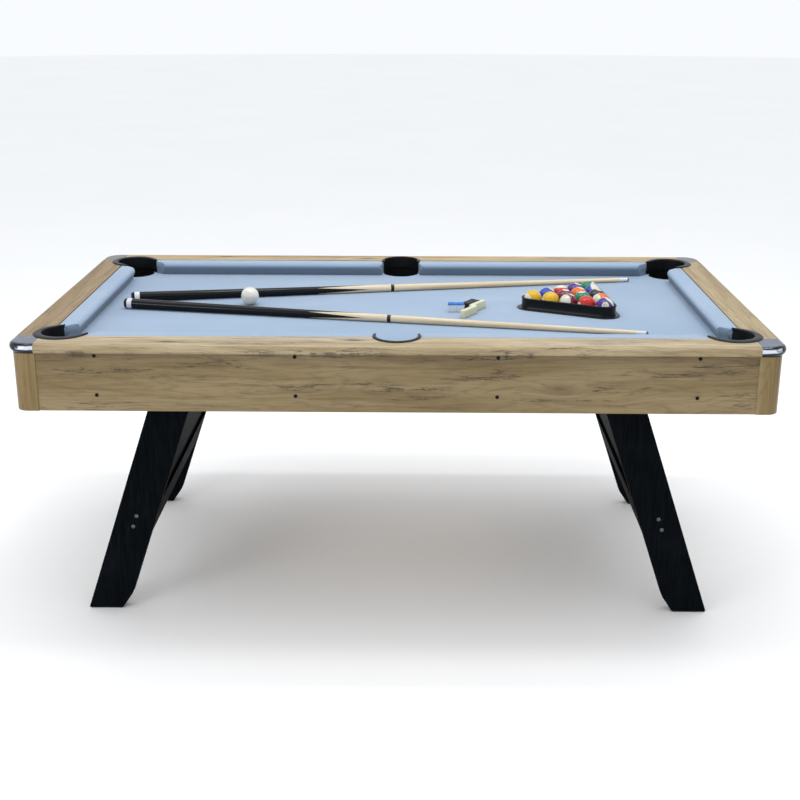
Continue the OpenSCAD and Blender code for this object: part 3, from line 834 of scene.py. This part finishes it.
def liner(place, rim_r, rim_back, tip_a, wall_a):
    """Domed flange with tapering arms, and the wall that lines the pocket. The flange's outer
    circle is set back by rim_back."""
    r = pocket_radius(place)
    low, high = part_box(f"pocket_liner_{place}")
    centre = middle(f"pocket_cup_{place}")
    sx, sy = PLACES[place]
    axis = Vector((-sx, -sy)).normalized()
    side = Vector((-axis.y, axis.x))
    rise = high.z - RAIL_Z

    def put(a, b, z):
        p = Vector((centre.x, centre.y)) + axis * a + side * b
        return Vector((p.x, p.y, z))

    def dome(inner, outer):
        """Section between two plan points, domed and rounded at both edges."""
        points = []
        for share, lift in ((0.0, 0.0), (0.0, 0.35), (0.03, 0.7), (0.12, 0.93), (0.3, 1.0), (0.55, 0.97),
                            (0.78, 0.82), (0.93, 0.5), (1.0, 0.12), (1.0, 0.0)):
            p = Vector(inner).lerp(Vector(outer), share)
            points.append(put(p.x, p.y, RAIL_Z + rise * lift))
        return points

    tip_r = (math.sqrt(rim_r ** 2 - (tip_a + rim_back) ** 2) - r) / 2
    arms = []
    for a in (tip_a * k / 8 for k in range(9)):
        arms.append(((a, r), (a, math.sqrt(rim_r ** 2 - (a + rim_back) ** 2))))
    for angle in (20, 40, 58, 74, 86):
        t = math.radians(angle)
        a = tip_a + tip_r * math.sin(t)
        arms.append(((a, r + tip_r * (1 - math.cos(t))), (a, r + tip_r * (1 + math.cos(t)))))
    back = []
    for k in range(1, 36):
        out = unit(math.radians(90 + 180 * k / 36))
        behind = -rim_back * out.x + math.sqrt(rim_r ** 2 - (rim_back * out.y) ** 2)
        back.append((tuple(out * r), tuple(out * behind)))
    other_arms = [((ia, -ib), (oa, -ob)) for (ia, ib), (oa, ob) in arms]
    bm = bmesh.new()
    add_loft(bm, [dome(inner, outer) for inner, outer in arms[::-1] + back + other_arms])

    wall_t = 0.003
    wall_top = RAIL_Z + rise * 0.2
    profile = ((0.0, low.z + 0.001), (0.0, low.z + 0.012), (0.0, RAIL_Z - 0.006), (0.0, wall_top),
               (wall_t, wall_top), (wall_t, low.z + 0.002), (wall_t * 0.6, low.z), (wall_t * 0.2, low.z))
    first = len(bm.faces)
    add_loft(bm, [[put(*(point + out * d), z) for d, z in profile] for point, out in wall_line(r, wall_a)])
    bm.faces.ensure_lookup_table()
    for face in bm.faces[first:]:
        face.material_index = 1
    made = finish_mesh(bm, f"pocket_liner_{place}_moulded", [RIM, POCKET], sharp=50)
    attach(made, "table")
    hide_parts(f"pocket_liner_{place}")


def liners():
    for place in PLACES:
        if place.endswith("side"):
            liner(place, rim_r=0.061, rim_back=0.0, tip_a=0.0145, wall_a=-0.005)
        else:
            liner(place, rim_r=0.070, rim_back=0.0045, tip_a=0.035, wall_a=0.033)


# ---- screw heads


def add_head(bm, seat, out, radius, height, socket_r):
    """A round button head with a hexagon socket, standing on seat and facing out."""
    turn = out.to_track_quat("Z", "Y").to_matrix()

    def circle(r, z, hexagon=False):
        points = []
        for a in turns(36):
            reach = r
            if hexagon:
                reach = r * math.cos(math.pi / 6) / math.cos((a % (math.pi / 3)) - math.pi / 6)
            points.append(seat + turn @ Vector((reach * math.cos(a), reach * math.sin(a), z)))
        return points

    rings = [circle(radius * 0.94, -0.0004), circle(radius, 0.0), circle(radius, height * 0.25)]
    for a in (math.radians(t) for t in (20, 40, 58, 72)):
        rings.append(circle(radius * (1 - 0.64 * (1 - math.cos(a))), height * (0.25 + 0.75 * math.sin(a))))
    rings.append(circle(socket_r * 1.12, height))
    rings.append(circle(socket_r, height * 0.96, hexagon=True))
    rings.append(circle(socket_r, height * 0.35, hexagon=True))
    add_loft(bm, rings)


def heads(node, seats, radius, out_y, socket_r, material):
    """Button heads where the screws or bolts of a CAD node stand out of the wood. seats are
    (x, y, z), and a head faces the sign of its y. out_y is how far it stands out."""
    bm = bmesh.new()
    for seat in seats:
        facing_out = Vector((0, math.copysign(1, seat[1]), 0))
        add_head(bm, Vector(seat), facing_out, radius, out_y, socket_r)
    made = finish_mesh(bm, node.rstrip("s") + "_heads", material, sharp=40)
    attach(made, "table")
    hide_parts(node)


def screw_heads():
    """The apron screws in two rows on each long side, and two bolts through each leg."""
    # share of the CAD head's height, so that the finer head stays inside it
    share = 0.95
    low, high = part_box("apron_screws")
    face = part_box("apron_back")[1].y
    radius = 0.0046
    outer_x = high.x - radius
    inner_share = 0.1404
    inner_x = size("apron_front").x * inner_share
    seats = [
        (x, sy * face, z)
        for sy in (-1, 1)
        for x in (-outer_x, -inner_x, inner_x, outer_x)
        for z in (low.z + radius, high.z - radius)
    ]
    heads("apron_screws", seats, radius, (high.y - face) * share, 0.0019, BLACK_STEEL)

    low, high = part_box("leg_bolts")
    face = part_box("leg_back_right")[1].y
    radius = 0.0055
    # sideways run of a leg per metre of its height
    lean = 0.3404
    bottom_x = high.x - radius
    top_x = bottom_x - lean * (high.z - low.z - 2 * radius)
    seats = [
        (sx * x, sy * face, z)
        for sx in (-1, 1)
        for sy in (-1, 1)
        for x, z in ((bottom_x, low.z + radius), (top_x, high.z - radius))
    ]
    heads("leg_bolts", seats, radius, (high.y - face) * share, 0.0024, ZINC)


# ---- cues

BUTT_R = 0.0145
TIP_R = 0.00625


def cue(node, body, away):
    """Two-piece cue on its CAD axis: bumper, white collar, black butt with points, joint
    ring, maple shaft, ferrule and leather tip. away says that the tip lies further back
    than the butt."""
    low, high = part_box(node)
    slant = math.atan2(high.y - low.y, high.x - low.x)
    butt = Vector((low.x, 0, CLOTH_Z + CLEAR + BUTT_R))
    tip = Vector((high.x, 0, CLOTH_Z + CLEAR + TIP_R))
    butt.x += BUTT_R * math.sin(slant)
    tip.x -= TIP_R * math.sin(slant)
    butt.y = low.y + BUTT_R if away else high.y - BUTT_R
    tip.y = high.y - TIP_R if away else low.y + TIP_R
    along = tip - butt
    length = along.length

    def body_r(x):
        return BUTT_R + (TIP_R - BUTT_R) * x / length

    step = 0.0001
    bumper = 0.010
    collar = 0.024
    ring_start = 0.755
    ring_end = 0.765
    ferrule = length - 0.031
    leather = length - 0.006
    # one band for each of CUE_MATERIALS: places along the cue, with the share of the taper there
    bands = [
        [(0.0006, 0.45), (0.0002, 0.62), (0.0012, 0.80), (0.003, 0.90), (0.006, 0.95), (bumper, 0.96)],
        [(bumper, 0.995), (collar, 0.995)],
        [(collar + step, 0.98), (0.2, 0.985), (0.4, 0.985), (0.6, 0.985), (ring_start, 0.985)],
        [(ring_start + step, 1.0), (ring_end, 1.0)],
        [(ring_end + step, 0.97), (0.95, 0.965), (1.15, 0.97), (ferrule, 0.985)],
        [(ferrule + step, 0.99), (leather, 0.99)],
        [(leather + step, 0.97), (length - 0.004, 0.96), (length - 0.0018, 0.80), (length - 0.0006, 0.5),
         (length - step, 0.2)],
    ]
    stations = [(x, body_r(x) * share) for band in bands for x, share in band]
    slots = [number for number, band in enumerate(bands) for _ in band]
    made = lofted(node + "_turned", turned_rings(stations, 40), CUE_MATERIALS,
                  pick=lambda i: slots[i], sharp=30)
    turn = along.to_track_quat("X", "Z").to_matrix().to_4x4()
    made.matrix_world = Matrix.Translation(butt) @ turn
    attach(made, body)
    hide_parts(node)


CUE_MATERIALS = [
    moulded_plastic("bumper_black", (0.003, 0.003, 0.004), (0.006, 0.006, 0.007), specular=0.15),
    lacquer("collar_white", (0.60, 0.61, 0.64)),
    maple("cue_butt_splice", splice=(0.535, 0.690)),
    lacquer("joint_ring_black", (0.008, 0.008, 0.010)),
    maple("cue_shaft_maple"),
    lacquer("ferrule_white", (0.58, 0.60, 0.62)),
    moulded_plastic("tip_leather", (0.045, 0.040, 0.036), (0.085, 0.075, 0.066), rough=(0.7, 0.9)),
]


# ---- balls

BALL_GAP = 0.0016
RACK_TURN = -25
COLOURS = {
    "yellow": (0.560, 0.330, 0.006), "blue": (0.008, 0.040, 0.300), "red": (0.440, 0.012, 0.005),
    "purple": (0.038, 0.012, 0.170), "orange": (0.600, 0.115, 0.004), "green": (0.002, 0.150, 0.072),
    "maroon": (0.130, 0.006, 0.026), "black": (0.004, 0.004, 0.005),
}
# from the row of five to the single ball at the far corner: colour, number, and whether striped
RACKED = [
    [("yellow", 9), ("yellow", 1), ("maroon", 15), ("red", 3), ("purple", 12)],
    [("blue", 2), ("maroon", 7), ("green", 6), ("orange", 13)],
    [("red", 11), ("orange", 5), ("black", 8)],
    [("purple", 4), ("blue", 10)],
    [("green", 14)],
]
# number: where its first disc faces, and where the axis of its stripe points
FACING = {
    9: ((-0.45, 0.85, 0.25), (-0.85, -0.45, -0.20)), 1: ((0.9, 0.3, 0.2), (0, 0, 1)),
    15: ((0.5, 0.2, 0.8), (-0.72, -0.62, 0.30)), 3: ((0.9, 0.4, -0.1), (0, 0, 1)),
    12: ((0.25, -0.75, 0.62), (-0.70, -0.20, -0.66)), 2: ((0.45, -0.45, 0.80), (0, 1, 0)),
    7: ((0.10, -0.35, 0.93), (0, 1, 0)), 6: ((-0.10, -0.20, 0.97), (0, 1, 0)),
    13: ((-0.3, 0.9, 0.3), (0.85, 0.45, -0.25)), 11: ((0.9, 0.3, 0.0), (0.00, 0.35, 0.94)),
    5: ((0.25, 0.30, 0.92), (0, 1, 0)), 8: ((0.20, -0.50, 0.85), (0, 1, 0)),
    4: ((0.30, -0.10, 0.95), (0, 1, 0)), 10: ((0.2, 0.9, 0.2), (0.62, -0.25, 0.72)),
    14: ((-0.2, 0.3, 0.9), (0.88, -0.42, 0.20)),
}


def rack_grid():
    """Radius, pitch, directions along and into the rack, and the place of the first ball."""
    radius = size("cue_ball").x / 2
    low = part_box("object_balls")[0]
    pitch = 2 * radius + BALL_GAP
    turn = math.radians(RACK_TURN)
    right = Vector((math.cos(turn), math.sin(turn), 0))
    deep = Vector((-math.sin(turn), math.cos(turn), 0))
    # the front right ball is the lowest in Y, and the front left one the lowest in X
    first = Vector((low.x + radius, low.y + radius - 4 * pitch * right.y, low.z + radius))
    return radius, pitch, right, deep, first


def facing(number):
    """Turn that brings a ball's disc and the axis of its stripe to where FACING has them."""
    disc, axis = (Vector(v).normalized() for v in FACING[number])
    disc = (disc - axis * disc.dot(axis)).normalized()
    return Matrix((disc, axis.cross(disc), axis)).transposed()


def sphere(bm, radius):
    """Cube grown into an even ball."""
    bmesh.ops.create_cube(bm, size=1)
    bmesh.ops.subdivide_edges(bm, edges=bm.edges, cuts=23, use_grid_fill=True)
    for vert in bm.verts:
        x, y, z = (vert.co * 2).to_tuple()
        vert.co = radius * Vector((
            x * math.sqrt(1 - y * y / 2 - z * z / 2 + y * y * z * z / 3),
            y * math.sqrt(1 - z * z / 2 - x * x / 2 + z * z * x * x / 3),
            z * math.sqrt(1 - x * x / 2 - y * y / 2 + x * x * y * y / 3),
        ))


def ball(name, centre, turn, material, body, node):
    radius = size("cue_ball").x / 2
    bm = bmesh.new()
    sphere(bm, radius)
    made = finish_mesh(bm, name, material, sharp=80)
    made.matrix_world = Matrix.Translation(centre) @ turn.to_4x4()
    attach(made, body)
    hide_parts(node)
    return made


def numeral(text, radius, ball_object):
    """The ball's number, wrapped on both discs and joined into one thin relief."""
    curve = bpy.data.curves.new("numeral", "FONT")
    curve.body = text
    curve.size = radius * 0.46
    curve.align_x = "CENTER"
    curve.align_y = "CENTER"
    curve.extrude = 1.0
    curve.resolution_u = 3
    mesh = mesh_of(curve)
    bm = bmesh.new()
    for face_sign in (1, -1):
        part = bmesh.new()
        part.from_mesh(mesh)
        bmesh.ops.remove_doubles(part, verts=part.verts, dist=0.00001)
        for vert in part.verts:
            across, up, out = vert.co.x, vert.co.y, vert.co.z
            reach = radius + (0.00006 if out > 0 else -0.0004)
            direction = Vector((1, across / radius, up / radius)).normalized() * reach
            vert.co = Vector((face_sign * direction.x, face_sign * direction.y, direction.z))
        holder = bpy.data.meshes.new("half")
        part.to_mesh(holder)
        part.free()
        bm.from_mesh(holder)
        bpy.data.meshes.remove(holder)
    made = finish_mesh(bm, ball_object.name + "_number", INK, sharp=40)
    made.matrix_world = ball_object.matrix_world.copy()
    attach(made, "racked_balls")


def racked_balls():
    ball_r, pitch, right, deep, first = rack_grid()
    materials = {}
    for row, line in enumerate(RACKED):
        for column, (colour, number) in enumerate(line):
            striped = number > 8
            kind = "stripe" if striped else "solid"
            key = f"resin_{colour}_{kind}"
            if key not in materials:
                materials[key] = resin(key, COLOURS[colour], striped)
            centre = first + right * pitch * (column + row / 2) + deep * pitch * row * math.sqrt(3) / 2
            made = ball(f"ball_{number:02d}", centre, facing(number), materials[key],
                        "racked_balls", "object_balls")
            numeral(str(number), ball_r, made)


def white_ball():
    ball("ball_white", middle("cue_ball"), Matrix.Identity(3), ivory_resin("resin_ivory"),
         "white_ball", "cue_ball")


# ---- rack


def rack():
    """Triangle with round corners: a thin wall with a rolled lip on a flared foot."""
    ball_r, pitch, right, deep, first = rack_grid()
    corners = [first, first + right * 4 * pitch, first + right * 2 * pitch + deep * 2 * math.sqrt(3) * pitch]
    corners = [corner.to_2d() for corner in corners]
    inner = ball_r + 0.002
    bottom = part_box("ball_rack")[0].z
    height = size("ball_rack").z
    wall, flange = 0.005, 0.011
    outer = wall + flange
    section = [
        (0.0003, 0.0002), (outer - 0.0012, 0.0001), (outer - 0.0003, 0.0006), (outer - 0.0001, 0.0015),
        (outer - 0.0012, 0.0026), (outer - 0.0050, 0.0030), (wall + 0.0016, 0.0029), (wall - 0.0002, 0.0029),
        (wall - 0.0012, 0.0060), (wall - 0.0018, 0.0120), (wall - 0.0018, height - 0.006),
        (wall - 0.0010, height - 0.0045), (wall - 0.0003, height - 0.0030), (wall - 0.0006, height - 0.0010),
        (wall - 0.0018, height - 0.0001), (0.0014, height - 0.0001), (0.0004, height - 0.0010),
        (0.0003, height - 0.0040), (0.0002, height * 0.5),
    ]
    rings = []

    def add_ring(at, out):
        rings.append([Vector((*(at + out * (inner + d)), bottom + z)) for d, z in section])

    for number, corner in enumerate(corners):
        bisector = (210, 330, 90)[number] + RACK_TURN
        for k in range(17):
            out = unit(math.radians(bisector - 60 + 120 * k / 16))
            add_ring(corner, out)
        for k in range(1, 12):
            add_ring(corner.lerp(corners[(number + 1) % 3], k / 12), out)
    made = lofted("ball_rack_moulded", rings, RACK_PLASTIC, closed=True, sharp=50)
    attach(made, "rack")
    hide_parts("ball_rack")


# ---- chalk and brush


def rounded_block(bm, low, high, radius, segments=3):
    """Box with rounded edges."""
    made = bmesh.ops.create_cube(bm, size=1)["verts"]
    centre, extent = (low + high) / 2, high - low
    for vert in made:
        vert.co = Vector((vert.co.x * extent.x, vert.co.y * extent.y, vert.co.z * extent.z)) + centre
    edges = list({edge for vert in made for edge in vert.link_edges})
    bmesh.ops.bevel(bm, geom=edges, offset=radius, segments=segments, affect="EDGES", profile=0.5)


def chalk():
    """Two worn cubes of chalk in an open clear case."""
    low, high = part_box("chalk_box")
    wall = 0.0008
    case_top = low.z + (high.z - low.z) * 0.86

    def square_ring(inset, z):
        left, right, front, back = low.x + inset, high.x - inset, low.y + inset, high.y - inset
        return [Vector((x, y, z)) for x, y in ((left, front), (right, front), (right, back), (left, back))]

    steps = (
        (0.0006, low.z), (0.0, low.z + 0.0006), (0.0, case_top - 0.0004), (0.0004, case_top),
        (wall, case_top), (wall, low.z + wall),
    )
    case = lofted("chalk_case_clear", [square_ring(*step) for step in steps], CLEAR_CASE)
    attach(case, "chalk")
    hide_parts("chalk_box")
    side = 0.0218
    floor_z = low.z + wall + 0.0001
    top = high.z - 0.0001
    block = chalk_block("chalk_blue", floor_z, top)
    for number, sx in enumerate((-1, 1)):
        centre = middle("chalk_box") + Vector((sx * (side / 2 + 0.0006), 0, 0))
        bm = bmesh.new()
        rounded_block(bm, Vector((centre.x - side / 2, centre.y - side / 2, floor_z)),
                      Vector((centre.x + side / 2, centre.y + side / 2, top)), 0.0012)
        bmesh.ops.subdivide_edges(bm, edges=bm.edges, cuts=3, use_grid_fill=True)
        for vert in bm.verts:
            if vert.co.z > top - 0.002:
                worn = Vector((vert.co.x - centre.x, vert.co.y - centre.y)).length / (side / 2)
                vert.co.z -= 0.0022 * max(0.0, 1 - worn) ** 2 + RNG.uniform(0, 0.0002)
        cube = finish_mesh(bm, f"chalk_cube_{number + 1}", block)
        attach(cube, "chalk")


BRUSH_TURN = 58


def brush():
    """Small table brush on its side: a stepped handle and rows of bristle tufts."""
    low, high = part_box("table_brush")
    turn = Matrix.Rotation(math.radians(BRUSH_TURN), 4, "Z")
    # plan in millimetres before the turn
    outline = [(-70, -6), (2, -6), (12, 6), (72, 6), (72, 20), (0, 20), (-10, 8), (-70, 8)]
    bristle_corners = [(16, 20), (70, 20), (70, 51.9), (16, 51.9)]
    outline, corners = ([Vector((x, y)) / 1000 for x, y in plan] for plan in (outline, bristle_corners))
    spun = [turn @ p.to_3d() for p in outline + corners]
    origin = Vector((low.x - min(p.x for p in spun), low.y - min(p.y for p in spun), low.z))
    thick = high.z - low.z
    place = Matrix.Translation(origin) @ turn
    edge = 0.0022
    rings = []
    for inset, z in ((edge, 0.0), (edge * 0.3, edge * 0.3), (0.0, edge), (0.0, thick - edge),
                     (edge * 0.3, thick - edge * 0.3), (edge, thick)):
        rings.append([Vector((p.x, p.y, z)) for p in inset_outline(outline, inset)])
    handle = lofted("brush_handle", rings, CREAM, sharp=35)
    bevel = handle.modifiers.new("soft", "BEVEL")
    bevel.width = 0.0012
    bevel.segments = 3
    bevel.angle_limit = math.radians(40)
    handle.matrix_world = place
    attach(handle, "brush")
    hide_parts("table_brush")

    bm = bmesh.new()
    root = 0.0196
    reach = 0.0316
    columns = 13
    rows = 5
    margin = 0.0032
    first_x = 0.0188
    run = 0.0484
    for i in range(columns):
        for j in range(rows):
            x = first_x + run * i / (columns - 1)
            z = margin + (thick - 2 * margin) * j / (rows - 1)
            stations = []
            for share, radius in ((0.0, 0.0017), (0.35, 0.0018), (0.75, 0.0022), (1.0, 0.0024)):
                end = reach * (1 - RNG.uniform(0, 0.05)) if share == 1.0 else reach * share
                lean = Vector((RNG.uniform(-1, 1), RNG.uniform(-1, 1))) * 0.0006 * share
                stations.append([
                    Vector((
                        min(0.0697, max(0.0163, x + lean.x + radius * math.cos(a))), root + end,
                        min(thick - 0.0004, max(0.0004, z + lean.y + radius * math.sin(a))),
                    ))
                    for a in turns(7)
                ])
            add_loft(bm, stations)
    tufts = finish_mesh(bm, "brush_bristles", BRISTLE, sharp=60)
    tufts.matrix_world = place
    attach(tufts, "brush")


# ---- stage


def floor():
    """A round floor, finer towards the table."""
    bm = bmesh.new()
    rows = []
    for r in (0.5, 1.0, 2.0, 4.0, 8.0, 16.0, 30.0):
        rows.append([bm.verts.new((r * math.cos(a), r * math.sin(a), 0)) for a in turns(64)])
    centre = bm.verts.new((0, 0, 0))
    for j in range(64):
        bm.faces.new((rows[0][j], rows[0][(j + 1) % 64], centre))
        for low_row, high_row in zip(rows, rows[1:]):
            bm.faces.new((low_row[j], high_row[j], high_row[(j + 1) % 64], low_row[(j + 1) % 64]))
    made = finish_mesh(bm, "studio_floor", floor_paint("studio_floor"))


def area_light(name, place, target, width, depth, power):
    data = bpy.data.lights.new(name, "AREA")
    data.shape = "RECTANGLE"
    data.size = width
    data.size_y = depth
    data.energy = power
    lamp = link(bpy.data.objects.new(name, data))
    lamp.location = place
    lamp.rotation_mode = "QUATERNION"
    lamp.rotation_quaternion = (Vector(target) - Vector(place)).to_track_quat("-Z", "Y")


def lights():
    world = bpy.data.worlds.new("studio")
    bpy.context.scene.world = world
    world.use_nodes = True
    background = world.node_tree.nodes["Background"]
    background.inputs["Color"].default_value = (0.95, 0.97, 1.0, 1)
    background.inputs["Strength"].default_value = 1.0
    area_light("softbox_top", (0.0, 0.1, 3.6), (0, 0, 0.7), 4.2, 2.4, 28)
    area_light("strip_top", (0.0, 0.3, 3.3), (0, 0, 0.75), 4.2, 0.14, 20)
    area_light("softbox_front", (-3.2, -3.4, 1.9), (0, 0, 0.6), 1.6, 1.0, 30)
    for number, x in enumerate((-0.2, 1.5)):
        area_light(f"spark_{number + 1}", (x, -0.3, 3.0), (0.5, 0, 0.75), 0.4, 0.4, 8)
    bpy.context.scene.view_settings.view_transform = "Standard"


def camera():
    """Camera at eye level in front of the table, a little right of its middle."""
    place = Vector((0.0434, -3.4381, 1.6055))
    yaw = -0.01176
    pitch = 0.31823
    roll = -0.00188
    look = Vector((math.sin(yaw) * math.cos(pitch), math.cos(yaw) * math.cos(pitch), -math.sin(pitch)))
    right = Vector((math.cos(yaw), -math.sin(yaw), 0))
    down = look.cross(right)
    level, tilt = math.cos(roll), math.sin(roll)
    x_axis = right * level + down * tilt
    y_axis = right * tilt - down * level
    data = bpy.data.cameras.new("camera")
    data.sensor_width = 36
    data.lens = 56.23
    data.clip_end = 200
    eye = link(bpy.data.objects.new("camera", data))
    basis = Matrix((x_axis, y_axis, -look)).transposed()
    eye.matrix_world = Matrix.Translation(place) @ basis.to_4x4()
    bpy.context.scene.camera = eye


camera()
lights()
floor()
dress_cabinet()
dress_structure()
bed_felt()
cushions()
liners()
screw_heads()
cue("cue_front", "front_cue", away=False)
cue("cue_rear", "rear_cue", away=True)
white_ball()
racked_balls()
rack()
chalk()
brush()
